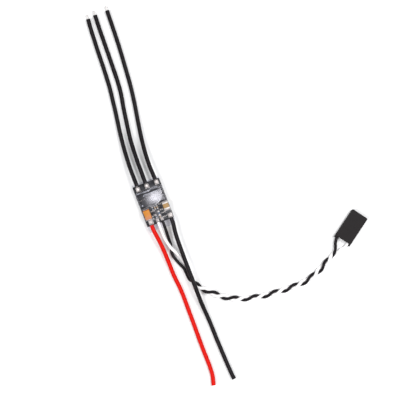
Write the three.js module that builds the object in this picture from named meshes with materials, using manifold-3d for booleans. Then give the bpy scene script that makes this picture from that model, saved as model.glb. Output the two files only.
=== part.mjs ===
// A small brushless motor speed controller: a populated circuit board inside an open-ended clear
// heat-shrink sleeve, with three phase leads, two power leads and a twisted signal pair that ends
// in a three-way plug. Millimetres, +Z up. +Y runs along the board towards the phase leads and +X
// across it. The origin is under the middle of the sleeve, on the surface that it lies on.
import * as THREE from "three";
import { mergeVertices } from "three/addons/utils/BufferGeometryUtils.js";
import Module from "manifold-3d";

const wasm = await Module();
wasm.setup();

// Driving dimensions
const board = { width: 12, length: 18, thickness: 1, corner: 0.4, middleY: 0.9, bottomZ: 1.3 };
const boardTopZ = board.bottomZ + board.thickness;
const sleeve = { width: 12.6, length: 21.6, height: 4.6, wall: 0.22, corner: 1.1, steps: 16 };
const waist = { middleY: 4, height: 3.8, innerReach: 1.6, outerReach: 3.6 };
const solderFilm = 0.05; // between a part's terminals and the board
const transistor = { body: 3.1, tab: 3.3, tabWidth: 2.4, height: 0.85, pitchX: 3.9, pitchY: 3.6 };
const transistorRowY = 5.1;
const powerLead = { diameter: 1.8, soldered: 3.3 }; // soldered: height of its middle at the board
const signalWire = { diameter: 1.3, pairDiameter: 2.6 };
const tinnedTip = { diameter: 1, length: 1.9, gap: 0.3 };
const plug = { length: 14.2, width: 7.66, height: 2.55, x: 74.45, y: -39.35, headingDeg: 35.5 };
const way = { pitch: 2.54, width: 1.8, height: 1.7, frontWall: 2, pinHole: 1 };
const wireNotch = { depth: 0.9, sideWall: 0.39 };
const latchWindow = { length: 2.4, width: 1.4, middleX: 0.2 };
const cordSides = 8;

// Routes, each from the board outwards
const phaseRoutes = {
  left: [
    [-3.9, 9.7, 3.3], [-3.9, 12, 3.3], [-3.9, 16, 3.1], [-3.8, 20, 2.7], [-3.4, 26, 2],
    [-2.9, 31, 1.5], [-2.2, 36, 1.15], [-1.4, 41, 0.98], [-0.5, 47.5, 0.92], [0.05, 51.5, 0.92],
    [0.5, 56.5, 0.92], [0.85, 62.5, 0.92], [1.1, 68.5, 0.92], [1.4, 74, 0.92], [1.7, 79, 0.92],
    [2.15, 83.6, 0.92],
  ],
  middle: [
    [-0.1, 9.7, 3.3], [-0.05, 12, 3.3], [0, 16, 3.1], [0.05, 20, 2.7], [0.3, 26, 2],
    [0.7, 30.5, 1.55], [1.5, 35.8, 1.17], [2.6, 42.7, 0.95], [3.3, 46.2, 0.92], [4, 50.5, 0.92],
    [4.45, 56, 0.92], [4.7, 63, 0.92], [4.95, 70.5, 0.92], [5.2, 78, 0.92], [5.5, 84.1, 0.92],
  ],
  right: [
    [4.35, 9.7, 3.3], [4.25, 12, 3.3], [4.15, 16, 3.1], [4.3, 20.2, 2.7], [4.75, 25, 2.1],
    [5.35, 29.5, 1.6], [6.1, 34, 1.25], [7, 39, 1], [7.9, 44.3, 0.92], [8.6, 49, 0.92],
    [9.2, 54.7, 0.92], [9.65, 60, 0.92], [10.1, 65.5, 0.92], [10.45, 71, 0.92],
    [10.7, 76.5, 0.92], [10.85, 80.5, 0.92], [11, 84.1, 0.92],
  ],
};
const positiveRoute = [
  [-4.05, -7.9, 3.3], [-4, -10.5, 3.3], [-3.65, -13.5, 3.1], [-3.3, -17, 2.6], [-3.1, -21, 2],
  [-3.05, -26, 1.4], [-3.05, -30, 1.05], [-2.8, -33.8, 0.94], [-2.45, -38, 0.92],
  [-2.4, -43, 0.92], [-2.5, -48.3, 0.92], [-2.55, -54, 0.92], [-2.7, -60, 0.92],
  [-2.75, -66.5, 0.92], [-2.7, -72.5, 0.92], [-3, -76.8, 0.92], [-4.05, -80.9, 0.92],
];
const negativeRoute = [
  [4.85, -7.9, 3.3], [4.75, -10.5, 3.3], [4.25, -14, 3.25], [4, -18, 3.2], [3.9, -22, 3.2],
  [3.85, -26, 3.35], [3.8, -30, 3.6], [3.8, -34, 3.7], [3.8, -38, 3.65], [3.75, -42, 3.15],
  [3.75, -46, 2.25], [3.9, -50, 1.4], [4.1, -54, 1], [4.2, -58, 0.92], [4.25, -63, 0.92],
  [4.4, -68, 0.92], [4.6, -74, 0.92], [4.85, -79, 0.92], [5.05, -81.5, 0.92],
];
const whiteBoardRoute = [
  [-1, -7.7, 2.98], [-1, -10, 2.98], [-1.05, -12.6, 2.85], [-0.85, -15.6, 2.5],
  [-0.35, -18.2, 2.25], [0.3, -20.3, 2.1], [1.3, -22.4, 1.65], [2.35, -25, 1],
  [3, -27.5, 0.7], [3.45, -29.5, 0.68], [3.5, -31.2, 0.78],
];
const blackBoardRoute = [
  [0.95, -7.7, 2.98], [0.95, -10, 2.95], [0.8, -12.5, 2.55], [0.65, -15.7, 1.6],
  [0.5, -18, 0.95], [0.1, -20, 0.68], [-0.35, -21.8, 0.67], [-0.3, -23.6, 0.67],
  [0.3, -25.6, 0.67], [1.2, -28, 0.67], [1.95, -29.7, 0.68], [2.15, -31.2, 0.78],
];
const pairRoute = [
  [2.8, -31.8, 1.32], [2.95, -33.6, 1.32], [3.6, -36.2, 1.32], [4.8, -38.9, 1.32],
  [6.5, -41.1, 1.32], [9, -43.4, 1.32], [11.9, -46.1, 1.32], [15.3, -48.5, 1.32],
  [19.2, -50.4, 1.32], [23.5, -51.7, 1.32], [27.8, -52.7, 1.32], [32.3, -53.3, 1.32],
  [37, -53.7, 1.32], [41.5, -53.9, 1.32], [46, -53.9, 1.32], [50.2, -53.2, 1.32],
  [54.3, -51.9, 1.32], [58, -50.1, 1.32], [62.4, -47.8, 1.32],
];
const whitePlugRoute = [
  [63.3, -47.9, 0.74], [64.7, -47.7, 0.7], [66.2, -46.95, 0.7], [67.5, -46.35, 0.8],
  [68.9, -46.2, 1.1], [70.13, -45.57, 1.27], [71.3, -44.72, 1.27],
];
const blackPlugRoute = [
  [62.9, -47.2, 2.1], [64.2, -46.3, 2.1], [65.3, -44.9, 1.6], [65.95, -43.3, 1.2],
  [67.05, -41.5, 1.27], [68.34, -40.58, 1.27],
];

// Finishes
function finish(color, roughness, metalness = 0) {
  return () => new THREE.MeshStandardMaterial({ color, roughness, metalness });
}
const finishes = {
  laminate: finish(0x1d2a24, 0.5),
  film: finish(0xdfe2ea, 0.12),
  moulding: finish(0x17181b, 0.55),
  tantalum: finish(0xd98c33, 0.45),
  ceramic: finish(0xb79a66, 0.4),
  resistor: finish(0x2b3140, 0.4),
  solder: finish(0xd6d8dc, 0.25, 1),
  blackSilicone: finish(0x161417, 0.5),
  redSilicone: finish(0xd8222a, 0.45),
  whiteSilicone: finish(0xf2f0f0, 0.5),
  housing: finish(0x232224, 0.6),
  contact: finish(0xc9b27a, 0.3, 1),
};

// Joining and cutting
function solid(geometry) {
  const bare = geometry.clone();
  bare.deleteAttribute("normal");
  bare.deleteAttribute("uv");
  const merged = mergeVertices(bare);
  return new wasm.Manifold(new wasm.Mesh({
    numProp: 3,
    vertProperties: new Float32Array(merged.attributes.position.array),
    triVerts: new Uint32Array(merged.index.array),
  }));
}

function geometryOf(body) {
  const mesh = body.getMesh();
  const geometry = new THREE.BufferGeometry();
  geometry.setAttribute("position", new THREE.BufferAttribute(mesh.vertProperties, 3));
  geometry.setIndex(new THREE.BufferAttribute(mesh.triVerts, 1));
  geometry.computeVertexNormals();
  return geometry;
}

function joined(geometries) {
  return geometryOf(geometries.map(solid).reduce((whole, next) => whole.add(next)));
}

function cut(geometry, cutters) {
  return geometryOf(cutters.map(solid).reduce((left, next) => left.subtract(next), solid(geometry)));
}

// Shapes
function roundedRectangle(width, height, radius, path = new THREE.Shape()) {
  const x = width / 2;
  const y = height / 2;
  path.moveTo(x - radius, -y);
  path.absarc(x - radius, -y + radius, radius, -Math.PI / 2, 0, false);
  path.absarc(x - radius, y - radius, radius, 0, Math.PI / 2, false);
  path.absarc(-x + radius, y - radius, radius, Math.PI / 2, Math.PI, false);
  path.absarc(-x + radius, -y + radius, radius, Math.PI, Math.PI * 1.5, false);
  return path;
}

function box(sizeX, sizeY, sizeZ, x = 0, y = 0, bottomZ = 0) {
  const geometry = new THREE.BoxGeometry(sizeX, sizeY, sizeZ);
  return geometry.translate(x, y, bottomZ + sizeZ / 2);
}

// A moulded block that stands on z = 0, with its upper and lower edges broken by a chamfer.
function moulding(sizeX, sizeY, sizeZ, chamfer) {
  const x = sizeX / 2 - chamfer;
  const y = sizeY / 2 - chamfer;
  const corners = [[-x, -y], [x, -y], [x, y], [-x, y]];
  const outline = new THREE.Shape(corners.map((corner) => new THREE.Vector2(...corner)));
  const geometry = new THREE.ExtrudeGeometry(outline, {
    depth: sizeZ - 2 * chamfer,
    bevelThickness: chamfer,
    bevelSize: chamfer,
    bevelSegments: 1,
  });
  return geometry.translate(0, 0, chamfer);
}

function plate(width, length, thickness, corner) {
  const outline = roundedRectangle(width, length, corner);
  const settings = { depth: thickness, bevelEnabled: false, curveSegments: 2 };
  return new THREE.ExtrudeGeometry(outline, settings);
}

// The film is pulled down onto the transistors and stands higher over the leads and capacitors.
function filmHeight(y) {
  const rise = THREE.MathUtils.smoothstep(
    Math.abs(y - waist.middleY), waist.innerReach, waist.outerReach);
  return THREE.MathUtils.lerp(waist.height, sleeve.height, rise);
}

function sleeveGeometry() {
  const section = roundedRectangle(sleeve.width, sleeve.height, sleeve.corner);
  const innerWidth = sleeve.width - 2 * sleeve.wall;
  const innerHeight = sleeve.height - 2 * sleeve.wall;
  const innerCorner = sleeve.corner - sleeve.wall;
  section.holes.push(roundedRectangle(innerWidth, innerHeight, innerCorner, new THREE.Path()));
  const settings = {
    depth: sleeve.length,
    steps: sleeve.steps,
    bevelEnabled: false,
    curveSegments: 2,
  };
  const geometry = new THREE.ExtrudeGeometry(section, settings);
  geometry.rotateX(Math.PI / 2);
  geometry.translate(0, sleeve.length / 2, sleeve.height / 2);
  const place = geometry.attributes.position;
  for (let i = 0; i < place.count; i += 1) {
    place.setZ(i, place.getZ(i) * filmHeight(place.getY(i)) / sleeve.height);
  }
  return geometry;
}

function transistorGeometry() {
  const { body, tab, tabWidth, height } = transistor;
  return joined([moulding(body, body, height, 0.08), box(tabWidth, tab, 0.25)]);
}

// A moulded package with a row of flat leads that come out of both long sides.
function leadedPackage(sizeX, sizeY, sizeZ, leads, pitch) {
  const leadWidth = 0.3;
  const leadReach = 0.35;
  const leadThickness = 0.15;
  const pieces = [moulding(sizeX, sizeY, sizeZ, 0.1)];
  for (let i = 0; i < leads; i += 1) {
    const x = (i - (leads - 1) / 2) * pitch;
    pieces.push(box(leadWidth, sizeY + 2 * leadReach, leadThickness, x));
  }
  return joined(pieces);
}

// A chip resistor or capacitor lying along Y, whose two end caps stand a little proud.
function chipGeometry(length, width, height) {
  const proud = 0.03;
  const cap = length * 0.22;
  const capY = (length - cap) / 2;
  const core = box(width - 2 * proud, length - 2 * proud, height - proud);
  return joined([core, box(width, cap, height, 0, capY), box(width, cap, height, 0, -capY)]);
}

function tantalumGeometry() {
  const body = moulding(2.8, 3.5, 1.7, 0.15).translate(0, 0, 0.1);
  return joined([body, box(2.2, 3.9, 0.5)]);
}

// A mound of solder with the tinned strands of its lead running into it along Y.
function solderJoint(radius, height, strandRadius, strandEndY, strandZ) {
  const profile = [new THREE.Vector2(0, 0)];
  const arcSteps = 5;
  for (let i = 0; i <= arcSteps; i += 1) {
    const angle = (i / arcSteps) * Math.PI / 2;
    const isTop = i === arcSteps;
    profile.push(new THREE.Vector2(isTop ? 0 : radius * Math.cos(angle), height * Math.sin(angle)));
  }
  const mound = new THREE.LatheGeometry(profile, 16).rotateX(Math.PI / 2);
  const strands = new THREE.CylinderGeometry(strandRadius, strandRadius, Math.abs(strandEndY), 12);
  strands.translate(0, strandEndY / 2, strandZ);
  return joined([mound, strands]);
}

function curveOf(route) {
  return new THREE.CatmullRomCurve3(route.map((point) => new THREE.Vector3(...point)));
}

// A plain cord: one tube along its route, with a step about every three diameters.
function cordGeometry(route, diameter) {
  const section = new THREE.Shape();
  for (let i = 0; i < cordSides; i += 1) {
    const angle = ((i + 0.5) / cordSides) * Math.PI * 2;
    const x = Math.cos(angle) * diameter / 2;
    const y = Math.sin(angle) * diameter / 2;
    if (i === 0) section.moveTo(x, y);
    else section.lineTo(x, y);
  }
  const curve = curveOf(route);
  const steps = Math.max(6, Math.round(curve.getLength() / (2.5 * diameter)));
  return new THREE.ExtrudeGeometry(section, { steps, extrudePath: curve, bevelEnabled: false });
}

function housingGeometry() {
  const edge = 0.12;
  const x = plug.length / 2 - edge;
  const y = plug.width / 2 - edge;
  const frontCorner = 0.55;
  const outline = new THREE.Shape();
  outline.moveTo(-x, -y);
  outline.lineTo(x - frontCorner, -y);
  outline.absarc(x - frontCorner, -y + frontCorner, frontCorner, -Math.PI / 2, 0, false);
  outline.absarc(x - frontCorner, y - frontCorner, frontCorner, 0, Math.PI / 2, false);
  outline.lineTo(-x, y);
  const block = new THREE.ExtrudeGeometry(outline, {
    depth: plug.height - 2 * edge,
    bevelThickness: edge,
    bevelSize: edge,
    bevelSegments: 1,
    curveSegments: 2,
  }).translate(0, 0, edge);
  const past = 0.5; // how far a cutter runs past the face that it opens
  const channelLength = plug.length - way.frontWall + past;
  const channelX = -plug.length / 2 - past + channelLength / 2;
  const channelZ = (plug.height - way.height) / 2;
  const pinLength = way.frontWall + 2 * past;
  const pinX = (plug.length - way.frontWall) / 2;
  const pinZ = (plug.height - way.pinHole) / 2;
  const cutters = [box(
    2 * wireNotch.depth, plug.width - 2 * wireNotch.sideWall, plug.height + 2 * past,
    -plug.length / 2, 0, -past)];
  for (const place of [-1, 0, 1]) {
    const wayY = place * way.pitch;
    cutters.push(box(channelLength, way.width, way.height, channelX, wayY, channelZ));
    cutters.push(box(pinLength, way.pinHole, way.pinHole, pinX, wayY, pinZ));
    cutters.push(box(
      latchWindow.length, latchWindow.width, channelZ + past, latchWindow.middleX, wayY,
      -past + channelZ / 4));
  }
  return cut(block, cutters);
}

// A crimped contact: a hollow box that takes the pin, a floor strip and the barrel on the strands.
function contactGeometry() {
  const shell = { length: 5.4, width: 1.5, height: 1.3, wall: 0.22, x: 2.2 };
  const barrel = { length: 1.8, width: 1.1, height: 0.9, x: -4.3 };
  const strip = { width: 0.9, thickness: 0.2 };
  const bottomZ = (plug.height - shell.height) / 2;
  const stripEnd = barrel.x - barrel.length / 2;
  const stripLength = shell.x - shell.length / 2 + 0.3 - stripEnd;
  const body = joined([
    box(shell.length, shell.width, shell.height, shell.x, 0, bottomZ),
    box(stripLength, strip.width, strip.thickness, stripEnd + stripLength / 2, 0, bottomZ),
    moulding(barrel.length, barrel.width, barrel.height, 0.15).translate(barrel.x, 0, bottomZ),
  ]);
  return cut(body, [box(
    shell.length * 2, shell.width - 2 * shell.wall, shell.height - 2 * shell.wall,
    shell.x + shell.length / 2, 0, bottomZ + shell.wall)]);
}

// Assembly
const group = new THREE.Group();

function add(name, geometry, material, x = 0, y = 0, z = 0, parent = group) {
  const mesh = new THREE.Mesh(geometry, material());
  mesh.name = name;
  mesh.position.set(x, y, z);
  parent.add(mesh);
  return mesh;
}

add("heat_shrink_sleeve", sleeveGeometry(), finishes.film);
add("circuit_board", plate(board.width, board.length, board.thickness, board.corner),
  finishes.laminate, 0, board.middleY, board.bottomZ);

// Upper side: x and y are from the middle of the board.
const upperSide = new THREE.Group();
upperSide.position.set(0, board.middleY, boardTopZ + solderFilm);
group.add(upperSide);

for (const [row, rowName] of ["high", "low"].entries()) {
  for (const [column, phase] of ["left", "middle", "right"].entries()) {
    const x = (column - 1) * transistor.pitchX;
    const y = transistorRowY - board.middleY - row * transistor.pitchY;
    add(`transistor_${rowName}_${phase}`, transistorGeometry(), finishes.moulding, x, y, 0, upperSide);
  }
}
add("tantalum_capacitor", tantalumGeometry(), finishes.tantalum, -4.1, -4, 0, upperSide);
add("ceramic_capacitor", chipGeometry(3.2, 2.5, 1.5), finishes.ceramic, 4.6, -3.2, 0, upperSide);
add("driver_pair_left", leadedPackage(1.9, 1.2, 0.8, 3, 0.65), finishes.moulding,
  -1.5, -4.3, 0, upperSide);
add("driver_pair_middle", leadedPackage(1.3, 2, 0.8, 2, 0.65), finishes.moulding,
  2.3, -2.75, 0, upperSide);
add("driver_pair_right", leadedPackage(2, 1.2, 0.8, 3, 0.65), finishes.moulding,
  2.6, -6.35, 0, upperSide);
const upperChips = [
  ["resistor_1", 1, 0.5, 0.38, -1.2, -2.45, finishes.resistor],
  ["capacitor_1", 1, 0.5, 0.5, -0.15, -2.45, finishes.ceramic],
  ["capacitor_2", 1, 0.5, 0.5, 0.85, -2.45, finishes.ceramic],
  ["resistor_2", 1.6, 0.8, 0.45, 0.75, -5.15, finishes.resistor],
  ["capacitor_3", 1, 0.5, 0.5, 0.65, -6.65, finishes.ceramic],
  ["resistor_3", 1, 0.5, 0.38, -2.3, -6.05, finishes.resistor],
  ["resistor_4", 1, 0.5, 0.38, -0.9, -6.15, finishes.resistor],
];
for (const [name, length, width, height, x, y, material] of upperChips) {
  add(name, chipGeometry(length, width, height), material, x, y, 0, upperSide);
}

// Lower side: the group is turned over, so x runs the other way.
const lowerSide = new THREE.Group();
lowerSide.position.set(0, board.middleY, board.bottomZ - solderFilm);
lowerSide.rotation.y = Math.PI;
group.add(lowerSide);
add("microcontroller", moulding(5, 5, 0.8, 0.06), finishes.moulding, 0.3, -1.2, 0, lowerSide);
add("voltage_regulator", leadedPackage(2.9, 1.5, 0.85, 3, 0.95), finishes.moulding,
  -3.4, -6, 0, lowerSide);
add("resonator", moulding(3.2, 1.3, 0.8, 0.05), finishes.ceramic, 1.6, -5.6, 0, lowerSide);
const lowerChips = [
  ["capacitor_4", 2, 1.25, 0.85, -4.6, 4.6, finishes.ceramic],
  ["capacitor_5", 2, 1.25, 0.85, 0, 4.6, finishes.ceramic],
  ["capacitor_6", 2, 1.25, 0.85, 4.6, 4.6, finishes.ceramic],
  ["resistor_5", 1, 0.5, 0.38, -4.4, -0.2, finishes.resistor],
  ["resistor_6", 1, 0.5, 0.38, -4.4, -1.9, finishes.resistor],
  ["resistor_7", 1, 0.5, 0.38, 4.6, -0.2, finishes.resistor],
];
for (const [name, length, width, height, x, y, material] of lowerChips) {
  add(name, chipGeometry(length, width, height), material, x, y, 0, lowerSide);
}

// Solder joints: x, y, mound radius and height, strand radius, how far the strands run, their height
const leadZ = powerLead.soldered - boardTopZ;
const wireZ = 0.68;
const joints = [
  ["solder_phase_left", -4, 8.2, 0.95, 1.45, 0.5, 1.2, leadZ],
  ["solder_phase_middle", 0, 8.4, 0.95, 1.45, 0.5, 1, leadZ],
  ["solder_phase_right", 4.4, 8.5, 0.95, 1.45, 0.5, 0.9, leadZ],
  ["solder_positive", -3.9, -6.5, 1, 1.4, 0.5, -1.1, leadZ],
  ["solder_negative", 4.8, -6.6, 1, 1.4, 0.5, -1, leadZ],
  ["solder_signal_white", -0.98, -6.85, 0.55, 0.85, 0.3, -0.6, wireZ],
  ["solder_signal_black", 1, -6.85, 0.55, 0.85, 0.3, -0.6, wireZ],
];
for (const [name, x, y, ...sizes] of joints) {
  add(name, solderJoint(...sizes), finishes.solder, x, y, boardTopZ + solderFilm);
}

for (const [phase, route] of Object.entries(phaseRoutes)) {
  add(`phase_lead_${phase}`, cordGeometry(route, powerLead.diameter), finishes.blackSilicone);
  const { diameter, length, gap } = tinnedTip;
  const tip = new THREE.CylinderGeometry(diameter / 2, diameter / 2, length, 12);
  const mesh = add(`tinned_tip_${phase}`, tip, finishes.solder);
  const end = new THREE.Vector3(...route.at(-1));
  const along = end.clone().sub(new THREE.Vector3(...route.at(-2))).normalize();
  mesh.position.copy(end).addScaledVector(along, gap + length / 2);
  mesh.quaternion.setFromUnitVectors(new THREE.Vector3(0, 1, 0), along);
}
add("power_lead_positive", cordGeometry(positiveRoute, powerLead.diameter), finishes.redSilicone);
add("power_lead_negative", cordGeometry(negativeRoute, powerLead.diameter), finishes.blackSilicone);

const signalCords = [
  ["signal_white_board_end", whiteBoardRoute, signalWire.diameter, finishes.whiteSilicone],
  ["signal_black_board_end", blackBoardRoute, signalWire.diameter, finishes.blackSilicone],
  ["signal_pair_twisted", pairRoute, signalWire.pairDiameter, finishes.whiteSilicone],
  ["signal_white_plug_end", whitePlugRoute, signalWire.diameter, finishes.whiteSilicone],
  ["signal_black_plug_end", blackPlugRoute, signalWire.diameter, finishes.blackSilicone],
];
for (const [name, route, diameter, material] of signalCords) {
  add(name, cordGeometry(route, diameter), material);
}

const plugGroup = new THREE.Group();
plugGroup.position.set(plug.x, plug.y, 0);
plugGroup.rotation.z = THREE.MathUtils.degToRad(plug.headingDeg);
group.add(plugGroup);
add("plug_housing", housingGeometry(), finishes.housing, 0, 0, 0, plugGroup);
add("crimp_contact_black", contactGeometry(), finishes.contact, 0, way.pitch, 0, plugGroup);
add("crimp_contact_white", contactGeometry(), finishes.contact, 0, -way.pitch, 0, plugGroup);

export default group;
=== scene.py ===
import math
import random
import bmesh
import bpy
import numpy as np
from mathutils import Matrix, Vector, noise
from mathutils.bvhtree import BVHTree


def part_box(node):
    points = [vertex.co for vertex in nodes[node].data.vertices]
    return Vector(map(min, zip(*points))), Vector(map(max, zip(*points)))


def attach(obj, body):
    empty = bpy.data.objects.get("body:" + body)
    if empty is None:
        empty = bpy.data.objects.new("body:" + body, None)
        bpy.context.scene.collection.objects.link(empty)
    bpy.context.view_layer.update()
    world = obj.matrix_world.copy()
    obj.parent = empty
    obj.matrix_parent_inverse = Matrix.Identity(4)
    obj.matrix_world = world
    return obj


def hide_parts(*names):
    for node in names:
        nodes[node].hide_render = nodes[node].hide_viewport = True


# A small brushless motor speed controller in clear heat-shrink, with its leads and three-way plug.
# Lengths are in millimetres and are turned into metres as each piece is made, apart from the stated
# lengths of the cords, which are in metres.
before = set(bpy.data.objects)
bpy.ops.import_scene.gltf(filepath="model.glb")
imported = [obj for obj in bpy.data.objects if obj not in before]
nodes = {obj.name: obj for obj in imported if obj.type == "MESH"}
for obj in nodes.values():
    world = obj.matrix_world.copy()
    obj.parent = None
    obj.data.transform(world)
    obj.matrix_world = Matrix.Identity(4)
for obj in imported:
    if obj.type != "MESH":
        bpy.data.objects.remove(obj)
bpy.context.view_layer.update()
scene = bpy.context.scene
scene.view_settings.view_transform = "Standard"
mm = 0.001
up = Vector((0, 0, 1))
random.seed(11)
noise.seed_set(11)    # noise_vector otherwise starts from the clock


# ---- shading helpers

def colour(red, green, blue):    # screen values 0-255 to a linear colour
    def linear(value):
        value /= 255
        return value / 12.92 if value <= 0.04045 else ((value + 0.055) / 1.055) ** 2.4
    return (linear(red), linear(green), linear(blue), 1)


class Value:    # an output socket that can be used in arithmetic
    def __init__(self, finish, socket):
        self.finish = finish
        self.socket = socket

    def maths(self, operation, *values):
        return self.finish.node("Math", {"operation": operation}, dict(enumerate(values)))

    def __add__(self, other):
        return self.maths("ADD", self, other)

    def __sub__(self, other):
        return self.maths("SUBTRACT", self, other)

    def __rsub__(self, other):
        return self.maths("SUBTRACT", other, self)

    def __mul__(self, other):
        return self.maths("MULTIPLY", self, other)

    def __pow__(self, other):
        return self.maths("POWER", self, other)

    def above(self, low, high):    # 0 below low, 1 above high
        sockets = {"Value": self, "From Min": low, "From Max": high}
        return self.finish.node("MapRange", {"interpolation_type": "SMOOTHSTEP"}, sockets)

    __radd__ = __add__
    __rmul__ = __mul__


class Finish:
    def __init__(self, name):
        self.material = bpy.data.materials.new(name)
        self.material.use_nodes = True
        self.tree = self.material.node_tree
        self.tree.nodes.clear()
        self.output = self.tree.nodes.new("ShaderNodeOutputMaterial")

    def node(self, kind, settings=None, sockets=None, output=0):
        made = self.tree.nodes.new("ShaderNode" + kind)
        for name, value in (settings or {}).items():
            setattr(made, name, value)
        for name, value in (sockets or {}).items():
            if isinstance(value, Value):
                self.tree.links.new(value.socket, made.inputs[name])
            else:
                made.inputs[name].default_value = value
        return Value(self, made.outputs[output])

    def place(self, scale=(1, 1, 1), turn=(0, 0, 0), move=(0, 0, 0)):    # object coordinates
        point = self.node("TexCoord", output="Object")
        sockets = {"Vector": point, "Scale": scale, "Rotation": turn, "Location": move}
        return self.node("Mapping", {}, sockets)

    def grain(self, size, detail=2, roughness=0.5, stretch=(1, 1, 1)):    # noise, size in mm
        scale = tuple(part / (size * mm) for part in stretch)
        sockets = {"Vector": self.place(scale), "Scale": 1, "Detail": detail, "Roughness": roughness}
        return self.node("TexNoise", {}, sockets)

    def along(self, axis):    # millimetres from the origin
        return self.node("SeparateXYZ", {}, {"Vector": self.place((1 / mm,) * 3)}, output=axis)

    def blend(self, share, first, second):
        sockets = {0: share, 6: first, 7: second}
        return self.node("Mix", {"data_type": "RGBA"}, sockets, output=2)

    def bump(self, height, distance, strength=1):    # distance in mm
        sockets = {"Height": height, "Distance": distance * mm, "Strength": strength}
        return self.node("Bump", {}, sockets)

    def principled(self, **sockets):
        named = {name.replace("_", " "): value for name, value in sockets.items()}
        return self.node("BsdfPrincipled", {}, named)

    def done(self, shader):
        self.tree.links.new(shader.socket, self.output.inputs["Surface"])
        return self.material


# ---- camera, floor and lights

view = {"aim": (18.9, -5.3, 1.5), "width": 170, "lens": 100, "turn": -21.1}
softboxes = {    # lean from overhead and bearing round it in degrees, distance and size in mm
    "key": {
        "distance": 1100, "lean": 9, "bearing": -35, "size": (340, 330), "power": 3.4,
        "mirrored": True},
    "left": {
        "distance": 1200, "lean": 35, "bearing": 186, "size": (540, 540), "power": 9,
        "mirrored": False},
    "right": {
        "distance": 1200, "lean": 34, "bearing": 4, "size": (540, 540), "power": 10.6,
        "mirrored": False}}
surround = {"grey": 0.9, "strength": 0.18}
floorSheet = {"size": 6000, "tone": colour(240, 240, 241)}


def addCamera():
    data = bpy.data.cameras.new("overhead")
    data.lens = view["lens"]
    distance = view["width"] * data.lens / data.sensor_width
    camera = bpy.data.objects.new("overhead", data)
    camera.location = (Vector(view["aim"]) + up * distance) * mm
    camera.rotation_euler = (0, 0, math.radians(view["turn"]))
    scene.collection.objects.link(camera)
    scene.camera = camera


def addSoftboxes():
    aim = Matrix.Translation(Vector(view["aim"]) * mm)
    for name, box in softboxes.items():
        data = bpy.data.lights.new(name, "AREA")
        data.shape = "RECTANGLE"
        data.size, data.size_y = (side * mm for side in box["size"])
        data.energy = box["power"]
        light = bpy.data.objects.new(name, data)
        light.visible_glossy = box["mirrored"]
        turned = Matrix.Rotation(math.radians(box["bearing"]), 4, "Z")
        turned = turned @ Matrix.Rotation(math.radians(box["lean"]), 4, "Y")
        light.matrix_world = aim @ turned @ Matrix.Translation((0, 0, box["distance"] * mm))
        scene.collection.objects.link(light)


def addSurround():
    world = bpy.data.worlds.new("studio")
    world.use_nodes = True
    background = world.node_tree.nodes["Background"]
    background.inputs["Color"].default_value = (*[surround["grey"]] * 3, 1)
    background.inputs["Strength"].default_value = surround["strength"]
    scene.world = world


def addFloor():
    finish = Finish("floorPaper")
    tooth = finish.grain(2, detail=4)
    tone = finish.blend(tooth * 0.05, floorSheet["tone"], (1, 1, 1, 1))
    paper = finish.principled(Base_Color=tone, Roughness=0.9 + tooth * 0.05, Specular_IOR_Level=0.1)
    bm = bmesh.new()
    bmesh.ops.create_grid(bm, x_segments=4, y_segments=4, size=floorSheet["size"] / 2)
    floor = addPiece("floor", bm, [finish.done(paper)])
    floor.location.z = -0.02 * mm


# ---- mesh helpers

def applyModifiers(piece):
    graph = bpy.context.evaluated_depsgraph_get()
    shaped = bpy.data.meshes.new_from_object(piece.evaluated_get(graph))
    piece.modifiers.clear()
    piece.data = shaped


def shade(piece, smooth):    # smooth, with sharp edges where the faces turn by more than smooth degrees
    mesh = piece.data
    mesh.polygons.foreach_set("use_smooth", [True] * len(mesh.polygons))
    mesh.set_sharp_from_angle(angle=math.radians(smooth))


def addPiece(name, bm, finishes, smooth=28, modifiers=()):    # bm is in millimetres
    piece = bpy.data.objects.new(name, bpy.data.meshes.new(name))
    for finish in finishes:
        piece.data.materials.append(finish)
    bm.to_mesh(piece.data)
    bm.free()
    scene.collection.objects.link(piece)
    for kind, settings in modifiers:
        modifier = piece.modifiers.new(kind.lower(), kind)
        for setting, value in settings.items():
            setattr(modifier, setting, value)
    if modifiers:
        applyModifiers(piece)
    piece.data.transform(Matrix.Scale(mm, 4))
    shade(piece, smooth)
    return piece


def carved(piece, cutter, smooth=28):    # cuts closed shapes out of a piece; cutter is in millimetres
    tool = addPiece(piece.name + "_cutter", cutter, [])
    cut = piece.modifiers.new("carve", "BOOLEAN")
    cut.object = tool
    cut.solver = "EXACT"
    applyModifiers(piece)
    shade(piece, smooth)
    bpy.data.objects.remove(tool)


def breakEdges(bm, edges, offset, segments=2, clamp=False):
    bmesh.ops.bevel(
        bm, geom=edges, offset=offset, offset_type="OFFSET", segments=segments, profile=0.5,
        affect="EDGES", material=-1, clamp_overlap=clamp)


def slicePlane(bm, place, normal):    # adds edges where a plane crosses the shape
    bmesh.ops.bisect_plane(
        bm, geom=bm.verts[:] + bm.edges[:] + bm.faces[:], plane_co=place, plane_no=normal)


def edgesOf(corners):    # each edge once, in the same order in every run
    return list(dict.fromkeys(edge for corner in corners for edge in corner.link_edges))


def outward(side):    # how far a shape drawn along +y turns to face that side
    return 0 if side > 0 else math.pi


def block(bm, size, centre, bevel=0, segments=2, finish=0, turn=0):
    before = set(bm.faces)
    place = Matrix.Translation(centre) @ Matrix.Rotation(turn, 4, "Z") @ Matrix.Diagonal((*size, 1))
    corners = bmesh.ops.create_cube(bm, size=1, matrix=place)["verts"]
    if bevel:
        breakEdges(bm, edgesOf(corners), bevel, segments, clamp=True)
    added = set(bm.faces) - before
    for face in added:
        face.material_index = finish
    return added


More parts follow.
